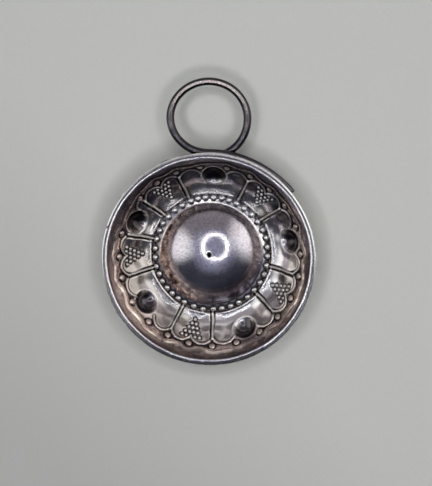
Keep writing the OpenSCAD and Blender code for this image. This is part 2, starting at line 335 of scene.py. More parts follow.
def baked(obj):
    """Turns what an object's modifiers give into its plain mesh."""
    bpy.context.view_layer.update()
    whole = obj.evaluated_get(bpy.context.evaluated_depsgraph_get())
    mesh = bpy.data.meshes.new_from_object(whole)
    obj.modifiers.clear()
    obj.data = mesh
    return obj


# %% The punch
def punch_tree(name, element, combine):
    """Profile round a guide's points or edges, put into the relief in a set way."""
    tree, given = new_tree(name, {"Guide": "Object", "Width": "Float", "Height": "Float", "Edge": "Float"})
    guide = add(tree, "GeometryNodeObjectInfo", {0: given.outputs["Guide"]}, transform_space="RELATIVE")
    near = add(tree, "GeometryNodeProximity", {0: guide.outputs["Geometry"]}, target_element=element)
    away = add(tree, "ShaderNodeMath", {0: near.outputs["Distance"], 1: given.outputs["Width"]},
               operation="DIVIDE", use_clamp=True)
    square = add(tree, "ShaderNodeMath", {0: away.outputs[0], 1: away.outputs[0]}, operation="MULTIPLY")
    under = add(tree, "ShaderNodeMath", {0: 1.0, 1: square.outputs[0]}, operation="SUBTRACT")
    form = add(tree, "ShaderNodeMath", {0: under.outputs[0], 1: given.outputs["Edge"]}, operation="POWER")
    stroke = add(tree, "ShaderNodeMath", {0: form.outputs[0], 1: given.outputs["Height"]},
                 operation="MULTIPLY")
    before = add(tree, "GeometryNodeInputNamedAttribute", {0: "relief"}, data_type="FLOAT")
    after = add(tree, "ShaderNodeMath", {0: before.outputs[0], 1: stroke.outputs[0]}, operation=combine)
    inside = add(tree, "FunctionNodeCompare", {0: away.outputs[0], 1: 0.999},
                 data_type="FLOAT", operation="LESS_THAN")
    kept = add(tree, "GeometryNodeSwitch",
               {0: inside.outputs[0], 1: before.outputs[0], 2: after.outputs[0]}, input_type="FLOAT")
    stored = add(tree, "GeometryNodeStoreNamedAttribute",
                 {0: given.outputs["Geometry"], 2: "relief", 3: kept.outputs[0]},
                 data_type="FLOAT", domain="POINT")
    add(tree, "NodeGroupOutput", {0: stored.outputs[0]})
    return tree


# a blow adds to the relief; a raised form stands up to its height, whatever lies under it
blow_points = punch_tree("blow_points", "POINTS", "ADD")
blow_lines = punch_tree("blow_lines", "EDGES", "ADD")
raise_points = punch_tree("raise_points", "POINTS", "MAXIMUM")
raise_lines = punch_tree("raise_lines", "EDGES", "MAXIMUM")
print("punches:", [tree.name for tree in bpy.data.node_groups])


# %% [markdown]
# ## Where the ornament lies
# Angles run clockwise from the finger ring. The lobes are unevenly spaced, as in the photo, so their places
# are written down one by one: ten cords, five cup hollows and five bunches of grapes, with one lobe narrower
# than the rest. An array round the axis would be shorter, and would look made by machine. Points lie on the
# inner line of the section, and beads and grapes stray a little, from a fixed seed.

# %% Places on the bowl
CORD_AT = [-21.5, 26.5, 55, 101.5, 131, 178.5, 208, 256, 284.5, 310]
BEADS_BETWEEN = [5, 2, 4, 2, 4, 2, 5, 2, 2, 2]
CUP_AT = [2.7, 79, 154.5, 233.5, 294.5]
BUNCH_AT = [41, 116.5, 193.6, 269.5, 324.7]
FLANK_AT = [(-6, 11), (70, 87.5), (146, 162.5), (222.8, 239.3)]
NARROW_STOP = 303.5
# how far inside the lip cords and border lie, arches past the cords, cups inside the border
CORD_IN, BORDER_IN, ARCH_RUN, CUP_IN = 6.55, 4.2, 1.8, 3.35
# tip of a bunch outward from the foot, length to its fourth row, and pitch of the grapes
TIP_OUT, BUNCH_RUN, GRAPE_PITCH = 2.2, 3.9, 1.5
GRAPE_ROWS = [[0], [-0.5, 0.5], [-1, 0, 1], [-1.5, -0.5, 0.5, 1.5], [-2.1, -1.1, 1.1, 2.1]]
channel_r = (BOSS_R + floor_r) / 2 + 0.05
notch_r = lip_r - CORD_IN
arch_r = notch_r + ARCH_RUN
border_r = lip_r - BORDER_IN
cup_r = border_r - CUP_IN
tip_r = FOOT_R + TIP_OUT
next_cord = CORD_AT[1:] + [CORD_AT[0] + 360]
rng = np.random.RandomState(7)


def up_side(r, length):
    """Radius reached by going a length up the inner face from radius r."""
    return float(np.interp(along_inner(r) + length, inner_s, inner_line[:, 0]))


def on_bowl(deg, r, across=0.0, up=0.0):
    """Point on the inner face, moved across and up from a place given by angle and radius."""
    r = up_side(r, up)
    a = math.radians(deg) + across / r
    return [r * math.sin(a), r * math.cos(a), float(np.interp(along_inner(r), inner_s, inner_line[:, 1]))]


print(f"beads at {channel_r:.2f} mm, cups at {cup_r:.2f} mm, border at {border_r:.2f} mm from the axis")


# %% Guides made of points
def guide(name, chains, closed=False):
    """Object of points, or of lines through them where a chain has several."""
    verts, edges = [], []
    for chain in chains:
        first = len(verts)
        verts += chain
        edges += [(i, i + 1) for i in range(first, len(verts) - 1)]
        if closed:
            edges.append((len(verts) - 1, first))
    return link_mesh("guide_" + name, verts, [], edges)


channel_beads = [
    on_bowl(a + (b - a) * k / (n + 1) + rng.normal(0, 0.35), channel_r + rng.normal(0, 0.08))
    for a, b, n in zip(CORD_AT, next_cord, BEADS_BETWEEN) for k in range(n + 1)
]
bead_gaps = [
    on_bowl(a + (b - a) * (k + 0.5) / (n + 1), channel_r)
    for a, b, n in zip(CORD_AT, next_cord, BEADS_BETWEEN) for k in range(n + 1)
]
border_at = CORD_AT + BUNCH_AT + [deg for pair in FLANK_AT for deg in pair]
border_beads = [on_bowl(deg, border_r) for deg in border_at]
grapes = [
    on_bowl(deg, tip_r + BUNCH_RUN * row / 3, across * GRAPE_PITCH + rng.normal(0, 0.05), rng.normal(0, 0.05))
    for deg in BUNCH_AT for row, places in enumerate(GRAPE_ROWS) for across in places
]
cup_middles = [on_bowl(deg, cup_r) for deg in CUP_AT]
centre_mark = [-0.25, 0.4, foot_z + BOSS_H]
print(len(channel_beads), "channel beads,", len(border_beads), "border beads,", len(grapes), "grapes")


# %% Cords and arches
def arch(a, b):
    """Arc over part of a lobe, between two angles."""
    half = notch_r * math.sin(math.radians(b - a) / 2)
    rise = along_inner(arch_r) - along_inner(notch_r)
    bend = (half ** 2 + rise ** 2) / (2 * rise)
    turn = math.asin(min(1, half / bend)) if rise < bend else math.pi - math.asin(min(1, half / bend))
    return [
        on_bowl((a + b) / 2, notch_r, bend * math.sin(t), rise - bend + bend * math.cos(t))
        for t in np.linspace(-turn, turn, 25)
    ]


# two arches in each lobe, over its bunch or beside its cup; the narrow lobe has one
spans = [(NARROW_STOP, next_cord[8])]
for i, (a, b) in enumerate(zip(CORD_AT, next_cord)):
    if i % 2:
        spans += [(a, BUNCH_AT[i // 2]), (BUNCH_AT[i // 2], b)]
    elif i // 2 < len(FLANK_AT):
        spans += [(a, FLANK_AT[i // 2][0]), (FLANK_AT[i // 2][1], b)]
arches = [arch(a, b) for a, b in spans]


def radial(r0, r1, steps):
    """A line up the side at each cord."""
    return [[on_bowl(deg, r) for r in np.linspace(r0, r1, steps)] for deg in CORD_AT]


# cords start just out of the channel and end past the notch; their thick roots and the flutes are shorter
CORD_START, CORD_PAST, ROOT_RUN, FLUTE_FROM, FLUTE_TO = 0.4, 0.5, 3.4, 24.8, 27.6
cords = radial(channel_r + CORD_START, notch_r + CORD_PAST, 20)
cord_roots = radial(channel_r + CORD_START, floor_r + ROOT_RUN, 12)
flutes = radial(FLUTE_FROM, FLUTE_TO, 6)
# a narrow groove beside each cord, toward the near left
GROOVE_X, GROOVE_Y = 0.25, 0.4
cord_shade = [[[x - GROOVE_X, y - GROOVE_Y, z] for x, y, z in chain] for chain in cords]
print(len(cords), "cords,", len(arches), "arches")

# %% Edges of the lobes and waves of the border
# a lobe's foot is a shallow scallop that stops short of the cords, by an angle
SCALLOP, SHORT = 0.6, 1.3
lobe_feet = [
    [on_bowl(deg, shelf_r + SCALLOP - SCALLOP * math.sin(math.pi * (deg - a) / (b - a)) ** 0.5)
     for deg in np.linspace(a + SHORT, b - SHORT, 30)]
    for a, b in zip(CORD_AT, next_cord)
]
# the border's ridge swings out round each bead, over some degrees, and strays as a hand does
WAVE_OUT, SWING_OUT, SWING_DEG, TROUGH_IN = 1.1, 0.5, 4.0, 0.2
wave = []
for deg in np.arange(0, 360, 1.0):
    swing = max(math.exp(-(((deg - at + 180) % 360 - 180) / SWING_DEG) ** 2) for at in border_at)
    stray = 0.25 * math.sin(math.radians(7 * deg)) + 0.2 * math.sin(math.radians(17 * deg + 40))
    wave.append(on_bowl(deg, border_r + WAVE_OUT + SWING_OUT * swing + stray))
trough = [on_bowl(deg, border_r - TROUGH_IN) for deg in range(360)]
print("lobe edges", len(lobe_feet), "and wave of", len(wave), "points")

# %% Strike the punches
spots = {
    name: guide(name, [[p] for p in places])
    for name, places in (
        ("cups", cup_middles), ("grapes", grapes), ("channel_beads", channel_beads),
        ("bead_gaps", bead_gaps), ("border_beads", border_beads), ("centre_mark", [centre_mark]),
    )
}
lines = {
    name: guide(name, chains)
    for name, chains in (
        ("cords", cords), ("cord_shade", cord_shade), ("cord_roots", cord_roots),
        ("flutes", flutes), ("arches", arches), ("lobe_feet", lobe_feet),
    )
}
loops = {name: guide(name, [chain], True) for name, chain in (("wave", wave), ("border_trough", trough))}
# width from the guide and height in millimetres, and edge, in the order of striking;
# the hollows are struck 0.9 mm deeper than in the solid
strokes = [
    (blow_lines, lines["flutes"], 5.2, 0.65, 2.0),
    (blow_points, spots["cups"], 7.0, 0.4, 2.0),
    (blow_lines, lines["cord_shade"], 0.9, -0.5, 1.0),
    (blow_points, spots["cups"], 4.5, -2.9, 1.0),
    (blow_lines, loops["border_trough"], 1.9, -0.25, 1.5),
    (blow_lines, lines["arches"], 1.0, -0.15, 1.0),
    (blow_points, spots["grapes"], 1.0, -0.45, 0.5),
    (blow_points, spots["channel_beads"], 1.3, -0.25, 0.7),
    (blow_points, spots["bead_gaps"], 0.5, -0.3, 0.8),
    (blow_points, spots["border_beads"], 1.7, -0.3, 0.7),
    (blow_points, spots["centre_mark"], 0.9, -0.6, 1.0),
    (raise_lines, lines["lobe_feet"], 0.5, 0.3, 0.8),
    (raise_lines, loops["wave"], 1.1, 0.3, 1.5),
    (blow_lines, lines["arches"], 0.48, 0.5, 0.8),
    (blow_lines, lines["cords"], 0.5, 0.85, 1.0),
    (blow_lines, lines["cord_roots"], 0.75, 0.35, 1.0),
    (raise_points, spots["grapes"], 0.6, 0.45, 0.5),
    (raise_points, spots["channel_beads"], 1.08, 0.75, 0.3),
    (raise_points, spots["border_beads"], 1.15, 0.42, 0.6),
]
for tree, where, width, height, edge in strokes:
    use_tree(bowl, tree, Guide=where, Width=width * MM, Height=height * MM, Edge=edge)
print(len(strokes), "kinds of stroke")


# %% [markdown]
# ## Moving the sheet
# The last tree of the stack blurs the relief and takes the difference as recess, which tells the finish where
# polish never reaches, adds the faint unevenness of hammer and planishing marks, and moves both faces, never
# below the table or above the lip. Displacing in the material would look alike in a render, but the mesh
# would stay smooth, and the mesh is a result too.

# %% Raise the relief
def relief_tree():
    """Moves both faces of the sheet by the relief and the hammer marks."""
    tree, given = new_tree("raise_relief", {
        "Hammer Depth": "Float", "Hammer Size": "Float", "Top": "Float", "Finish": "Material"})
    relief, facing, struck = (
        add(tree, "GeometryNodeInputNamedAttribute", {0: name}, data_type="FLOAT").outputs[0]
        for name in ("relief", "facing", "struck")
    )
    soft = add(tree, "GeometryNodeBlurAttribute", {0: relief, 1: 14}, data_type="FLOAT")
    recess = add(tree, "ShaderNodeMath", {0: soft.outputs[0], 1: relief}, operation="SUBTRACT")
    noted = add(tree, "GeometryNodeStoreNamedAttribute",
                {0: given.outputs["Geometry"], 2: "recess", 3: recess.outputs[0]},
                data_type="FLOAT", domain="POINT")
    scale = add(tree, "ShaderNodeMath", {0: 1.0, 1: given.outputs["Hammer Size"]}, operation="DIVIDE")
    marks = add(tree, "ShaderNodeTexNoise", {"Scale": scale.outputs[0], "Detail": 0.7})
    middle = add(tree, "ShaderNodeMath", {0: marks.outputs[0], 1: 0.5}, operation="SUBTRACT")
    depth = add(tree, "ShaderNodeMath", {0: middle.outputs[0], 1: given.outputs["Hammer Depth"]},
                operation="MULTIPLY")
    total = add(tree, "ShaderNodeMath", {0: depth.outputs[0], 1: struck, 2: relief},
                operation="MULTIPLY_ADD")
    signed = add(tree, "ShaderNodeMath", {0: total.outputs[0], 1: facing}, operation="MULTIPLY")
    normal = add(tree, "GeometryNodeInputNormal")
    move = add(tree, "ShaderNodeVectorMath", {0: normal.outputs[0], "Scale": signed.outputs[0]},
               operation="SCALE")
    start = add(tree, "GeometryNodeInputPosition")
    goal = add(tree, "ShaderNodeVectorMath", {0: start.outputs[0], 1: move.outputs[0]}, operation="ADD")
    part = add(tree, "ShaderNodeSeparateXYZ", {0: goal.outputs[0]})
    level = add(tree, "ShaderNodeClamp",
                {"Value": part.outputs["Z"], "Min": 0.0, "Max": given.outputs["Top"]})
    place = add(tree, "ShaderNodeCombineXYZ",
                {0: part.outputs["X"], 1: part.outputs["Y"], 2: level.outputs[0]})
    moved = add(tree, "GeometryNodeSetPosition", {0: noted.outputs[0], "Position": place.outputs[0]})
    plain = add(tree, "GeometryNodeRealizeInstances", {0: moved.outputs[0]})
    done = add(tree, "GeometryNodeSetMaterial", {0: plain.outputs[0], "Material": given.outputs["Finish"]})
    add(tree, "NodeGroupOutput", {0: done.outputs[0]})
    return tree


chased_silver = bpy.data.materials.new("tarnished_chased_silver")
use_tree(bowl, relief_tree(), **{
    "Hammer Depth": 0.18 * MM, "Hammer Size": 6 * MM, "Top": BOWL_H * MM, "Finish": chased_silver})
baked(bowl)
for obj in [o for o in bpy.data.objects if o.name.startswith("guide_")]:
    bpy.data.objects.remove(obj)
corners = np.array([v.co for v in bowl.data.vertices]) / MM
print("bowl from", corners.min(0).round(2), "to", corners.max(0).round(2), "mm")


# %% [markdown]
# ## Rim wire and its joint
# A half-round wire was bent round the lip, its ends butted and soldered, and a fillet of solder runs under
# it. Each is a section swept round the axis. A curve with a bevel profile would do, but in code the flat back
# and the ends of the butt joint come out exactly where the solids have them. The crown of the wire is drawn
# as worn by wiping, so its section is a little squarer than half a circle.

# %% Sweep a section round the axis
def swept(name, section, from_deg, to_deg, steps):
    """Closed section (radius, height) turned through an angle; open ends are capped."""
    whole = to_deg - from_deg > 359.9
    section = np.asarray(section, float)
    count, verts, faces = len(section), [], []
    angles = np.linspace(from_deg, to_deg, steps + 1)[: steps if whole else steps + 1]
    for deg in angles:
        a = math.radians(deg)
        verts += [[r * math.sin(a), r * math.cos(a), z] for r, z in section]
    rings = len(angles)
    for i in range(rings if whole else rings - 1):
        j = (i + 1) % rings
        for k in range(count):
            m = (k + 1) % count
            faces.append((i * count + k, j * count + k, j * count + m, i * count + m))
    if not whole:
        faces += [tuple(range(count)), tuple(range((rings - 1) * count, rings * count))]
    obj = link_mesh(name, verts, faces)
    tidy_normals(obj)
    return obj


WORN = 0.75


def half_round(r):
    """Section of the wire, worn a little flat on its top and side."""
    a = np.radians(np.linspace(0, 180, 25))
    out = r * np.sin(a) ** WORN
    up = r * np.sign(np.cos(a)) * np.abs(np.cos(a)) ** WORN
    back_r, middle_z = lip_r + FILM, BOWL_H - rim_r
    flat = np.linspace(middle_z - r, middle_z + r, 7)[1:-1]
    return np.vstack([
        np.column_stack([back_r + out, middle_z + up]),
        np.column_stack([np.full(len(flat), back_r), flat]),
    ])


# %% Rim wire, its butt joint and the solder under it
SEAM_AT, SEAM_W, SEAM_SUNK = 288.0, 0.4, 0.06
FILLET, LEAN = 0.5, math.radians(13)
seam_deg = math.degrees(SEAM_W / (RIM_D / 2))
rim = swept("rim_half_round", half_round(rim_r), SEAM_AT + seam_deg / 2, SEAM_AT + 360 - seam_deg / 2, 420)
seam = swept("rim_joint", half_round(rim_r - SEAM_SUNK), SEAM_AT - seam_deg / 2, SEAM_AT + seam_deg / 2, 6)
rim_bottom = BOWL_H - RIM_WIRE_H
touch_r = lip_r + FILM + rim_r * math.sin(LEAN)
touch_z = BOWL_H - rim_r * (1 + math.cos(LEAN)) - FILM / 4
ledge = [(x, touch_z + (x - touch_r) * math.tan(LEAN)) for x in (lip_r + FILLET, lip_r)]
rim_fillet = swept("rim_solder_line", [(lip_r, rim_bottom - FILLET)] + ledge, 0, 360, 360)
print("rim wire:", [len(obj.data.polygons) for obj in (rim, seam, rim_fillet)], "faces")

# %% [markdown]
# ## The handle wire
# One silver wire makes the whole handle: a blunt end low against the wall, one open turn for the finger, and
# a tail that lies over the blunt end and thins to a tip. A bevelled curve would keep one thickness or need a
# radius set at each point by hand, so the middle of the wire is worked out as points, each with the radius
# that the wire has there, and a short Geometry Nodes tree sweeps a circle along them. The tip is 0.2 mm
# thinner than in the solid, and lies 0.5 mm nearer to the wall.

# %% Path of the wire
WIRE_D, RING_W, RING_L, TAIL_TIP_D = 2.75, 26.6, 24.5, 1.5
TAIL_DEG, TAIL_SPRING, TAPER_FROM = 50.0, 0.6, 12.0
BLUNT_DEG, BLUNT_D, NECK_D = 39.0, 3.3, 2.4
# where in its turn the wire starts to climb from the blunt end's height, and over how many degrees
CLIMB_FROM, CLIMB_OVER = 38, 284
wire_r = WIRE_D / 2
tail_z = rim_bottom - FILLET - 2 * FILM - wire_r


def hug(r, z):
    """Radius of the middle of a wire of radius r that lies against the side at height z."""
    return side_x(side_ro + FILM + r, z)


tail_r = hug(wire_r, tail_z)
wall_tilt = math.atan2(tail_r, side_cz - tail_z)
blunt_z = tail_z - (WIRE_D + 2 * FILM) * math.sin(wall_tilt)
blunt_r = hug(wire_r, blunt_z)
blunt_knots = [0, BLUNT_DEG / 5, BLUNT_DEG - 19, BLUNT_DEG - 16, BLUNT_DEG - 13, BLUNT_DEG - 4, BLUNT_DEG]
blunt_radii = [wire_r, NECK_D / 2, NECK_D / 2, BLUNT_D / 2, BLUNT_D / 2, 0.38 * BLUNT_D, 0.22 * BLUNT_D]


def blunt_point(deg):
    """Point and radius of the wire along its blunt end."""
    w = float(np.interp(deg, blunt_knots, blunt_radii))
    r, a = hug(w, blunt_z), math.radians(deg)
    return [-r * math.sin(a), r * math.cos(a), blunt_z, w]


def ring_point(deg):
    """Point and radius of the wire along the finger ring."""
    part = min(1.0, max(0.0, (deg - CLIMB_FROM) / CLIMB_OVER))
    climb = part * part * (3 - 2 * part)
    near = blunt_r + (tail_r - blunt_r) * climb
    half, a = (tail_r + RING_L - near) / 2, math.radians(deg)
    z = blunt_z + (tail_z - blunt_z) * climb
    return [RING_W / 2 * math.sin(a), near + half * (1 - math.cos(a)), z, wire_r]


def tail_point(deg):
    """Point and radius of the wire along its tail, which springs away from the wall."""
    free = max(0.0, deg - TAPER_FROM) / (TAIL_DEG - TAPER_FROM)
    r, a = tail_r + TAIL_SPRING * free * free, math.radians(deg)
    return [r * math.sin(a), r * math.cos(a), tail_z, wire_r + (TAIL_TIP_D / 2 - wire_r) * free]


core = np.array(
    [blunt_point(d) for d in np.linspace(BLUNT_DEG, 0.5, 60)]
    + [ring_point(d) for d in np.linspace(0, 360, 181)]
    + [tail_point(d) for d in np.linspace(0.5, TAIL_DEG, 60)]
)
wire_length = np.linalg.norm(np.diff(core[:, :3], axis=0), axis=1).sum()
print(f"handle: {wire_length:.0f} mm of wire")


# %% Round the ends and sweep the wire
def rounded_ends(core):
    """Adds points at both ends whose radii close the wire as half a ball."""
    ends = []
    for tip, before in ((core[0], core[1]), (core[-1], core[-2])):
        way = (tip[:3] - before[:3]) / np.linalg.norm(tip[:3] - before[:3])
        ends.append([np.append(tip[:3] + way * tip[3] * math.sin(e), tip[3] * math.cos(e))
                     for e in np.radians([20, 40, 60, 75, 87])])
    return np.vstack([ends[0][::-1], core, ends[1]])


def wire_tree():
    """Sweeps a circle along the path and notes how far each face looks up, as crown."""
    tree, given = new_tree("draw_wire", {"Sides": "Int", "Finish": "Material"})
    path = add(tree, "GeometryNodeMeshToCurve", {0: given.outputs["Geometry"]})
    radius = add(tree, "GeometryNodeInputNamedAttribute", {0: "wire_r"}, data_type="FLOAT")
    circle = add(tree, "GeometryNodeCurvePrimitiveCircle",
                 {"Resolution": given.outputs["Sides"], "Radius": 1.0})
    tube = add(tree, "GeometryNodeCurveToMesh",
               {0: path.outputs[0], 1: circle.outputs[0], "Scale": radius.outputs[0], "Fill Caps": True})
    normal = add(tree, "GeometryNodeInputNormal")
    upward = add(tree, "ShaderNodeSeparateXYZ", {0: normal.outputs[0]})
    crowned = add(tree, "GeometryNodeStoreNamedAttribute",
                  {0: tube.outputs[0], 2: "crown", 3: upward.outputs["Z"]},
                  data_type="FLOAT", domain="POINT")
    plain = add(tree, "GeometryNodeRealizeInstances", {0: crowned.outputs[0]})
    done = add(tree, "GeometryNodeSetMaterial", {0: plain.outputs[0], "Material": given.outputs["Finish"]})
    add(tree, "NodeGroupOutput", {0: done.outputs[0]})
    return tree


wire_silver = bpy.data.materials.new("drawn_silver_wire")
wire_core = rounded_ends(core)
handle = link_mesh("handle_coil", wire_core[:, :3], [], [(i, i + 1) for i in range(len(wire_core) - 1)])
handle.data.attributes.new("wire_r", "FLOAT", "POINT").data.foreach_set("value", wire_core[:, 3] * MM)
use_tree(handle, wire_tree(), Sides=28, Finish=wire_silver)
baked(handle)
tidy_normals(handle)
print("handle:", len(handle.data.polygons), "faces")


# %% [markdown]
# ## Tarnished chased silver
# Silver that is handled stays bright on its high places, while brown, rose and violet tarnish gathers where
# the cloth never reaches: round beads, in the sweep below the boss and on the plain wall under the rim. A
# painted image could show that, but it would need a UV map and a size in pixels. Here tints are laid over
# polished metal like glazes, each as far as its fades let it show. A fade runs between two radii, heights or
# places in millimetres, between two depths of the relief, or between two values of a cloudy noise. Tints
# that change with the side of the cup follow the photo, where tarnish and reflected shade look alike. Some
# tints are painted light and shade: painted shade darkens the bead channel on the near side, the lobe tops
# and the wall toward the finger ring, and a band under the lip; painted light brightens the near right lobes
# and the near cups, and puts glints on the foot of the wall.

# %% Colours, bare metal and layers of tint
def linear(hex_code):
    """Linear colour of an sRGB hex value."""
    parts = [int(hex_code[i:i + 2], 16) / 255 for i in (1, 3, 5)]
    return [c / 12.92 if c <= 0.04045 else ((c + 0.055) / 1.055) ** 2.4 for c in parts] + [1.0]


def metal(material):
    """Fresh Principled metal; returns its tree and shader."""
    material.use_nodes = True
    tree = material.node_tree
    tree.nodes.clear()
    shader = add(tree, "ShaderNodeBsdfPrincipled", {"Metallic": 1.0})
    add(tree, "ShaderNodeOutputMaterial", {0: shader.outputs[0]})
    return tree, shader


def laid(tree, colour, layers):
    """Lays tints over a colour in turn; a layer shows as far as all its fades, multiplied, let it."""
    for tint, part, *others in layers:
        for other in others:
            part = add(tree, "ShaderNodeMath", {0: part, 1: other}, operation="MULTIPLY").outputs[0]
        over = linear(tint) if isinstance(tint, str) else tint
        colour = add(tree, "ShaderNodeMix", {0: part, 6: colour, 7: over}, data_type="RGBA").outputs[2]
    return colour


# %% Chased silver: measures and clouds
# old silver polished by hand: a soft mirror, grey-white where it is rubbed and brown where it isn't
tree, shader = metal(chased_silver)
place = add(tree, "ShaderNodeTexCoord").outputs["Object"]
x, y, z = add(tree, "ShaderNodeSeparateXYZ", {0: place}).outputs
flat = add(tree, "ShaderNodeVectorMath", {0: place, 1: (1, 1, 0)}, operation="MULTIPLY").outputs[0]
radius = add(tree, "ShaderNodeVectorMath", {0: flat}, operation="LENGTH").outputs["Value"]
to_near_right, to_far_right, to_near = (
    add(tree, "ShaderNodeVectorMath", {0: place, 1: way}, operation="DOT_PRODUCT").outputs["Value"]
    for way in ((0.8, -0.8, 0), (1, 1, 0), (0.5, -0.85, 0))
)
recess, relief = (
    add(tree, "ShaderNodeAttribute", attribute_name=name).outputs["Fac"] for name in ("recess", "relief"))
# size of each cloud's patches in millimetres, and how ragged they are
cloud, patch, glint, stain, fine, grain = (
    add(tree, "ShaderNodeTexNoise", {0: place, "Scale": 1 / (size * MM), "Detail": detail}).outputs[0]
    for size, detail in ((9, 3.0), (5, 4.0), (3.5, 3.0), (1.5, 4.0), (0.9, 3.0), (0.6, 2.0))
)
fade = {}
for name, source, start, end, least, most in (
    ("tint", cloud, 0.35, 0.65, 0, 1),
    ("gold", cloud, 0.4, 0.65, 0, 1),
    ("patch", patch, 0.48, 0.6, 0, 0.7),
    ("glint", glint, 0.5, 0.6, 0, 0.85),
    ("stained", stain, 0.25, 0.7, 0.6, 1),
    ("mottle", stain, 0.4, 0.6, 0, 1),
    ("polish", stain, 0.3, 0.7, 0.12, 0.18),
    ("grain", grain, 0.45, 0.75, 0, 0.45),
):
    fade[name] = add(tree, "ShaderNodeMapRange", {0: source, 1: start, 2: end, 3: least, 4: most}).outputs[0]
print("clouds:", sorted(fade))

# %% Chased silver: where each tint lies, in millimetres
for name, source, start, end, least, most in (
    ("dot_reach", radius, 2.0, 1.5, 0, 1),
    ("edge_in", radius, 14.2, 17.0, 0, 0.95),
    ("edge_out", radius, 18.9, 18.4, 0, 1),
    ("boss", radius, 18.6, 18.2, 0, 1),
    ("channel_in", radius, 19.3, 19.7, 0, 0.75),
    ("channel_out", radius, 21.8, 21.5, 0, 1),
    ("lobes", radius, 21.5, 23.0, 0, 1),
    ("lobe_tops", radius, 25.4, 28.6, 0, 1),
    ("warm", radius, 25.5, 29.5, 0, 0.75),
    ("border", radius, 29.5, 31.0, 0, 1),
    ("wall", radius, 30.8, 32.8, 0, 1),
    ("lit_near_right", to_near_right, 10, 20, 0, 0.8),
    ("dull", to_far_right, -20, -40, 0, 0.6),
    ("copper", to_far_right, -10, -19, 0, 0.75),
    ("shadowed", to_near, 9, 14, 0, 0.8),
    ("handled", x, 5, -12, 0.12, 1),
    ("left", x, -16, -30, 0, 0.6),
    # painted shade toward the finger ring, on the lobe tops and on the wall
    ("by_ring", y, 6, 18, 0, 0.85),
    ("wall_by_ring", y, 10, 27, 0, 0.95),
    # painted shade on the near side of the bead channel, lifted toward the finger ring
    ("channel_shade_near", y, 15, 3, 0, 1),
    ("channel_lit_far", y, 15, 3, 1, 0),
    ("near_cups", y, 0, -15, 0, 1),
    ("wall_foot", z, 13.6, 12.0, 0, 1),
    ("wall_rise", z, 11.5, 14.5, 0, 1),
    # painted shadow under the lip
    ("under_lip", z, 13.4, 15.4, 0, 0.85),
    ("below_lip", z, 16.5, 16.0, 0, 1),
    ("lip", z, 16.6, 16.8, 0, 1),
    ("cups", relief, -0.5, -1.6, 0, 0.8),
    ("dot", relief, -0.1, -0.25, 0, 1),
    ("deep", recess, 0.03, 0.12, 0, 1),
    ("rubbed", recess, -0.05, -0.16, 0, 0.9),
    ("worn_in", radius, 26.5, 23.5, 0, 0.05),
    ("bump", radius, 18, 17, 0.03, 0.3),
):
    limits = {0: source, 1: start * MM, 2: end * MM, 3: least, 4: most}
    fade[name] = add(tree, "ShaderNodeMapRange", limits).outputs[0]
print(len(fade), "fades")

# %% Chased silver: boss, lobes and plain wall
boss_tint = laid(tree, linear("#DAD6DA"), [("#C6BEC2", fade["tint"])])
colour = laid(tree, linear("#DAD6D0"), [
    ("#C4BCB2", fade["tint"]),
    (boss_tint, fade["boss"]),
    ("#F4F2F0", fade["lit_near_right"], fade["lobes"]),  # painted light: lobes lighter on the near right
    ("#94908E", fade["dull"], fade["lobes"]),  # near left lobes darker
    ("#A0948A", fade["warm"], fade["stained"]),  # warmer toward the arches
    ("#5A5C68", fade["by_ring"], fade["lobe_tops"]),  # painted shade: slate blue lobe tops toward the finger ring
])
wall_tint = laid(tree, linear("#94817A"), [
    ("#F8E2CC", fade["gold"]),
    ("#62504C", fade["wall_rise"]),  # darker to the lip
    ("#55443F", fade["patch"]),  # brown patches
    ("#CCB4AC", fade["left"]),  # rose on the left
    ("#FFF0DE", fade["glint"], fade["wall_foot"]),  # painted highlights: bright spots on the hammered foot
    # painted shadow: a dark band under the lip
    ("#352C2C", fade["under_lip"]),
    # painted shade: the wall darkens toward the finger ring
    ("#2C2324", fade["wall_by_ring"]),
])
colour = laid(tree, colour, [
    (wall_tint, fade["wall"], fade["below_lip"], fade["stained"]),
    ("#E8E6E4", fade["lip"]),
])
print("chased silver:", len(tree.nodes), "nodes so far")

# %% Chased silver: edge of the boss and bead channel
edge = (fade["edge_in"], fade["edge_out"], fade["handled"])
channel = add(tree, "ShaderNodeMath", {0: fade["channel_in"], 1: fade["channel_out"]}, operation="MULTIPLY")
channel = channel.outputs[0]
rose = laid(tree, linear("#BCA6A0"), [("#FAEAE0", fade["mottle"])])
copper = laid(tree, linear("#8A6656"), [("#F4CCB0", fade["mottle"])])
channel_tint_shaded = laid(tree, linear("#B4B2B8"), [("#2E2A2E", fade["channel_shade_near"])])
colour = laid(tree, colour, [
    (rose, *edge),
    (copper, fade["copper"], *edge),  # copper brown toward the near left
    ("#4C4856", fade["shadowed"], fade["edge_out"]),  # violet on the near right
    (channel_tint_shaded, channel),  # painted shade: the channel dark on the near side, light toward the finger ring
])
print("chased silver:", len(tree.nodes), "nodes so far")

# %% Chased silver: hollows, black edges and rubbed heights
# painted light: the black edges of the chasing are halved in the channel toward the finger ring
lit_far_channel = add(tree, "ShaderNodeMath", {0: fade["channel_lit_far"], 1: channel}, operation="MULTIPLY").outputs[0]
recess_black_kept = add(tree, "ShaderNodeMath", {0: lit_far_channel, 1: -0.5, 2: 1.0}, operation="MULTIPLY_ADD").outputs[0]
cup_tint = laid(tree, linear("#57545E"), [("#8E8C94", fade["near_cups"])])
rubbed_tint = laid(tree, linear("#F4F0EA"), [("#D8CABE", fade["border"])])
colour = laid(tree, colour, [
    (cup_tint, fade["cups"]),  # blue-black tarnish stays in the hollows; painted light makes the near cups lighter
    ("#2A2422", fade["deep"], recess_black_kept),
    ("#6E6A70", fade["grain"], fade["boss"]),  # fine grain of the boss
    ("#141214", fade["dot"], fade["dot_reach"]),  # punched dot in its middle
    (rubbed_tint, fade["rubbed"]),
])
rough = fade["polish"]
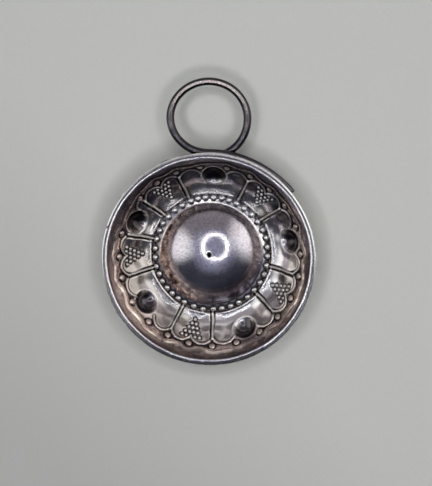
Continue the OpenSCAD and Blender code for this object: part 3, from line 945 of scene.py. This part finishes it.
for part, more in (
    (fade["lobes"], 0.06),
    (fade["lobes"], fade["worn_in"]),
    (fade["cups"], -0.04),
    (fade["rubbed"], 0.12),
):
    rough = add(tree, "ShaderNodeMath", {0: part, 1: more, 2: rough}, operation="MULTIPLY_ADD").outputs[0]
grained = {"Strength": fade["bump"], "Distance": 0.05 * MM, "Height": fine}
bump = add(tree, "ShaderNodeBump", grained).outputs[0]
for socket, value in (("Base Color", colour), ("Roughness", rough), ("Normal", bump)):
    tree.links.new(value, shader.inputs[socket])
print("chased silver:", len(tree.nodes), "nodes")


# %% [markdown]
# ## Wires and solder
# The outer edge of the rim is painted with a highlight, as the brightest line of the cup, and its near side
# with painted shade. The drawn wire of the handle is darker, with painted shade making its sides nearly black
# and a painted highlight making its crown pale at the far end. Solder is a duller, greyer silver. One
# material with a mask for each piece could serve all three; here they share a function for what they have in
# common, the clouds, and each gets its own tints in its own cell.

# %% Clouded metal
CLOUD_SIZE, FINE_SIZE = 4, 0.7


def clouded(material, light, dark, smooth, dull):
    """Metal clouded between two tints and two roughnesses; returns its tree, shader, place and colour."""
    tree, shader = metal(material)
    place = add(tree, "ShaderNodeTexCoord").outputs["Object"]
    cloud, fine = (
        add(tree, "ShaderNodeTexNoise", {0: place, "Scale": 1 / (size * MM), "Detail": detail}).outputs[0]
        for size, detail in ((CLOUD_SIZE, 4.0), (FINE_SIZE, 3.0))
    )
    part = add(tree, "ShaderNodeMapRange", {0: cloud, 1: 0.4, 2: 0.7}).outputs[0]
    rough = add(tree, "ShaderNodeMapRange", {0: cloud, 1: 0.3, 2: 0.7, 3: smooth, 4: dull}).outputs[0]
    bump = add(tree, "ShaderNodeBump", {"Strength": 0.008, "Distance": 0.04 * MM, "Height": fine}).outputs[0]
    tree.links.new(rough, shader.inputs["Roughness"])
    tree.links.new(bump, shader.inputs["Normal"])
    return tree, shader, place, laid(tree, linear(light), [(dark, part)])


# %% Rim: a painted highlight on its outer edge, and painted shade on its near side
rim_silver = bpy.data.materials.new("rubbed_silver_rim")
tree, shader, place, colour = clouded(rim_silver, "#9E9A98", "#7C7876", 0.22, 0.3)
flat = add(tree, "ShaderNodeVectorMath", {0: place, 1: (1, 1, 0)}, operation="MULTIPLY").outputs[0]
radius = add(tree, "ShaderNodeVectorMath", {0: flat}, operation="LENGTH").outputs["Value"]
along = add(tree, "ShaderNodeSeparateXYZ", {0: place}).outputs["Y"]
outer_edge = add(tree, "ShaderNodeMapRange", {0: radius, 1: 36.85 * MM, 2: 36.95 * MM}).outputs[0]
near_side = add(tree, "ShaderNodeMapRange", {0: along, 1: -22 * MM, 2: -34 * MM, 4: 0.8}).outputs[0]
colour = laid(tree, colour, [("#F6F4F2", outer_edge), ("#575356", near_side)])
tree.links.new(colour, shader.inputs["Base Color"])
rim.data.materials.append(rim_silver)
print("rim:", len(tree.nodes), "nodes")

# %% Drawn wire: painted shade on its sides, and a painted highlight at the far end of the ring
tree, shader, place, colour = clouded(wire_silver, "#767274", "#4C484A", 0.16, 0.26)
crown_part = add(tree, "ShaderNodeAttribute", attribute_name="crown").outputs["Fac"]
along = add(tree, "ShaderNodeSeparateXYZ", {0: place}).outputs["Y"]
far_end = add(tree, "ShaderNodeMapRange", {0: along, 1: 50 * MM, 2: 60 * MM}).outputs[0]
flanks = add(tree, "ShaderNodeMapRange", {0: crown_part, 1: 0.96, 2: 0.86}).outputs[0]
# painted highlight on the far end of the ring, painted shade on the sides of the wire
colour = laid(tree, colour, [("#DCD0C4", far_end), ("#403C3E", flanks)])
tree.links.new(colour, shader.inputs["Base Color"])
print("wire:", len(tree.nodes), "nodes")

# %% Silver solder: grey and half matt, where no polish was spent
solder_grey = bpy.data.materials.new("silver_solder")
tree, shader, _, colour = clouded(solder_grey, "#8E8884", "#5F5854", 0.3, 0.45)
tree.links.new(colour, shader.inputs["Base Color"])
for obj in (seam, rim_fillet):
    obj.data.materials.append(solder_grey)
print("solder:", len(tree.nodes), "nodes")

# %% [markdown]
# ## Handing the pieces over
# Each new piece rides on the one body, since nothing on this cup moves, and stands for a solid. The solder of
# the handle keeps its imported shape and only gets the new finish.

# %% Hand the pieces to the frame
for obj, node, slot in (
    (bowl, "bowl", "chased_silver"),
    (rim, "rim_wire", "rim_silver"),
    (seam, "rim_seam", "solder"),
    (rim_fillet, "rim_solder", "solder"),
    (handle, "handle_wire", "wire_silver"),
):
    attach(obj, "root")
    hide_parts(node)
solder_node = frame["nodes"]["handle_solder"]
solder_node.data.materials.clear()
solder_node.data.materials.append(solder_grey)
print("pieces:", [obj.name for obj in (bowl, rim, seam, rim_fillet, handle, solder_node)])

# %% [markdown]
# ## Floor, light and camera
# The cup lies on a pale grey-green sheet, seen nearly from above. Silver shows its surroundings, so the light
# is what the cup reflects: a soft panel on each side and a low one beyond the finger ring, which only the
# metal sees, a ring of light overhead round the camera, and a dark room on the near side. Area lamps could
# do this, but a glowing sheet can fade toward its edge, which gives the silver soft reflections. The ring
# comes twice: a narrow one for the metal, and a broader one that lights the paper and casts the soft shadow.

# %% Floor
FLOOR = 900
floor_corners = [[-FLOOR, -FLOOR, 0], [FLOOR, -FLOOR, 0], [FLOOR, FLOOR, 0], [-FLOOR, FLOOR, 0]]
floor = link_mesh("floor", floor_corners, [(0, 1, 2, 3)])
# pale uncoated paper: matt, faintly grained, and painted shade makes it a little darker toward the near left
paper = bpy.data.materials.new("pale_paper")
paper.use_nodes = True
tree = paper.node_tree
sheet = tree.nodes["Principled BSDF"]
sheet.inputs["Roughness"].default_value = 0.9
sheet.inputs["Specular IOR Level"].default_value = 0.1
place = add(tree, "ShaderNodeTexCoord").outputs["Object"]
fibres = add(tree, "ShaderNodeTexNoise", {0: place, "Scale": 1 / (2 * MM), "Detail": 4.0}).outputs[0]
aslant = add(tree, "ShaderNodeVectorMath", {0: place, 1: (1, 1, 0)}, operation="DOT_PRODUCT").outputs["Value"]
toned = add(tree, "ShaderNodeMapRange", {0: aslant, 1: -10 * MM, 2: -140 * MM}).outputs[0]
paper_tint = laid(tree, linear("#C3C4BD"), [("#BFC0B9", fibres), ("#B0B1AB", toned)])
tree.links.new(paper_tint, sheet.inputs["Base Color"])
floor.data.materials.append(paper)
print("floor:", floor.dimensions.to_tuple(2), "m")


# %% Glow of a panel or ring
def glow(name, level, soft):
    """Emission of a set level; a soft one fades from the middle of a unit square to its edge."""
    material = bpy.data.materials.new(name)
    material.use_nodes = True
    tree = material.node_tree
    tree.nodes.clear()
    emit = add(tree, "ShaderNodeEmission", {"Strength": level})
    if soft:
        place = add(tree, "ShaderNodeTexCoord").outputs["Object"]
        wide = add(tree, "ShaderNodeVectorMath", {0: place, "Scale": 2.0}, operation="SCALE").outputs[0]
        ball = add(tree, "ShaderNodeTexGradient", {0: wide}, gradient_type="SPHERICAL").outputs[1]
        dim = add(tree, "ShaderNodeMapRange", {0: ball, 2: 0.7, 4: level}, interpolation_type="SMOOTHSTEP")
        tree.links.new(dim.outputs[0], emit.inputs["Strength"])
    clear = add(tree, "ShaderNodeBsdfTransparent")
    both = add(tree, "ShaderNodeAddShader", {0: emit.outputs[0], 1: clear.outputs[0]})
    add(tree, "ShaderNodeOutputMaterial", {0: both.outputs[0]})
    return material


def light_up(obj, material):
    """Makes an object a light that the camera doesn't see and that casts no shadow."""
    obj.data.materials.append(material)
    obj.visible_camera = False
    obj.visible_shadow = False


# %% Glowing panels and the ring of light
PANEL_DISTANCE, HALF = 0.7, 500
RING_X, RING_Y, RING_Z, RING_STEPS = 32, 40, 520, 72


def panel(name, azimuth, elevation, width, height, level):
    """Soft panel turned to the cup; azimuth runs clockwise from +Y."""
    square = [[-HALF, -HALF, 0], [HALF, -HALF, 0], [HALF, HALF, 0], [-HALF, HALF, 0]]
    obj = link_mesh(name, square, [(0, 1, 2, 3)])
    a, e = math.radians(azimuth), math.radians(elevation)
    way = Vector((math.sin(a) * math.cos(e), math.cos(a) * math.cos(e), math.sin(e)))
    obj.location = PANEL_DISTANCE * way
    obj.rotation_euler = obj.location.to_track_quat("Z", "Y").to_euler()
    obj.scale = (width, height, 1)
    obj.visible_diffuse = False
    light_up(obj, glow(name + "_glow", level, True))


def ring_light(name, inner, outer, level):
    """Flat ring overhead, round the camera."""
    verts, faces = [], []
    for i in range(RING_STEPS):
        a, j = 2 * math.pi * i / RING_STEPS, (i + 1) % RING_STEPS
        verts += [[RING_X + r * math.sin(a), RING_Y + r * math.cos(a), RING_Z] for r in (inner, outer)]
        faces.append((2 * i, 2 * i + 1, 2 * j + 1, 2 * j))
    obj = link_mesh(name, verts, faces)
    light_up(obj, glow(name + "_glow", level, False))
    return obj


panel("panel_left", 274, 34, 0.75, 1.0, 1.08)
panel("panel_right", 72, 30, 1.1, 1.15, 1.2)
panel("panel_far", 2, 17, 1.3, 0.42, 0.42)
ring_light("ring_on_metal", 160, 181, 6.6).visible_diffuse = False
ring_light("ring_on_paper", 168, 212, 15.2).visible_glossy = False

# %% Room
world = bpy.data.worlds.new("room")
bpy.context.scene.world = world
world.use_nodes = True
tree = world.node_tree
tree.nodes.clear()
way = add(tree, "ShaderNodeTexCoord").outputs["Generated"]
toward = add(tree, "ShaderNodeSeparateXYZ", {0: way})
far = add(tree, "ShaderNodeMapRange", {0: toward.outputs["Y"], 1: -0.4, 2: 0.8}).outputs[0]
high = add(tree, "ShaderNodeMapRange", {0: toward.outputs["Z"], 1: 0.8, 2: 0.95}).outputs[0]
room = laid(tree, linear("#3E414C"), [("#9A959C", far), ("#9A9EB8", high)])
backdrop = add(tree, "ShaderNodeBackground", {0: room, 1: 1.0})
add(tree, "ShaderNodeOutputWorld", {0: backdrop.outputs[0]})
print("room:", len(tree.nodes), "nodes")

# %% Camera
IMAGE_W, IMAGE_H = 432, 486
MM_PER_PX, DISTANCE = 0.3475, 400.0
# middle of the rim in the picture, and the lean of the line of sight toward +X and +Y
RIM_PX, RIM_PY, LEAN_X, LEAN_Y = 207.9, 260.8, 4.4, 9.6
rim_middle = Vector((0, 0, BOWL_H))
to_camera = Vector((math.tan(math.radians(LEAN_X)), math.tan(math.radians(LEAN_Y)), 1)).normalized()
camera = bpy.data.objects.new("camera", bpy.data.cameras.new("camera"))
camera.location = (rim_middle + DISTANCE * to_camera) * MM
aim = rim_middle
# the aim depends on the camera's own right and up, so it is found in a few turns
for _ in range(4):
    back = (camera.location / MM - aim).normalized()
    right = Vector((0, 1, 0)).cross(back).normalized()
    up = back.cross(right)
    aim = rim_middle + MM_PER_PX * ((IMAGE_W / 2 - RIM_PX) * right + (RIM_PY - IMAGE_H / 2) * up)
camera.rotation_euler = Matrix((right, up, back)).transposed().to_euler()
camera.data.sensor_fit = "VERTICAL"
camera.data.angle_y = 2 * math.atan(IMAGE_H * MM_PER_PX / 2 / DISTANCE)
camera.data.clip_start = 0.01
bpy.context.scene.collection.objects.link(camera)
bpy.context.scene.camera = camera
bpy.context.scene.view_settings.view_transform = "Standard"
print(f"camera {DISTANCE:.0f} mm from the rim, {math.degrees(camera.data.angle_y):.1f} degrees high")
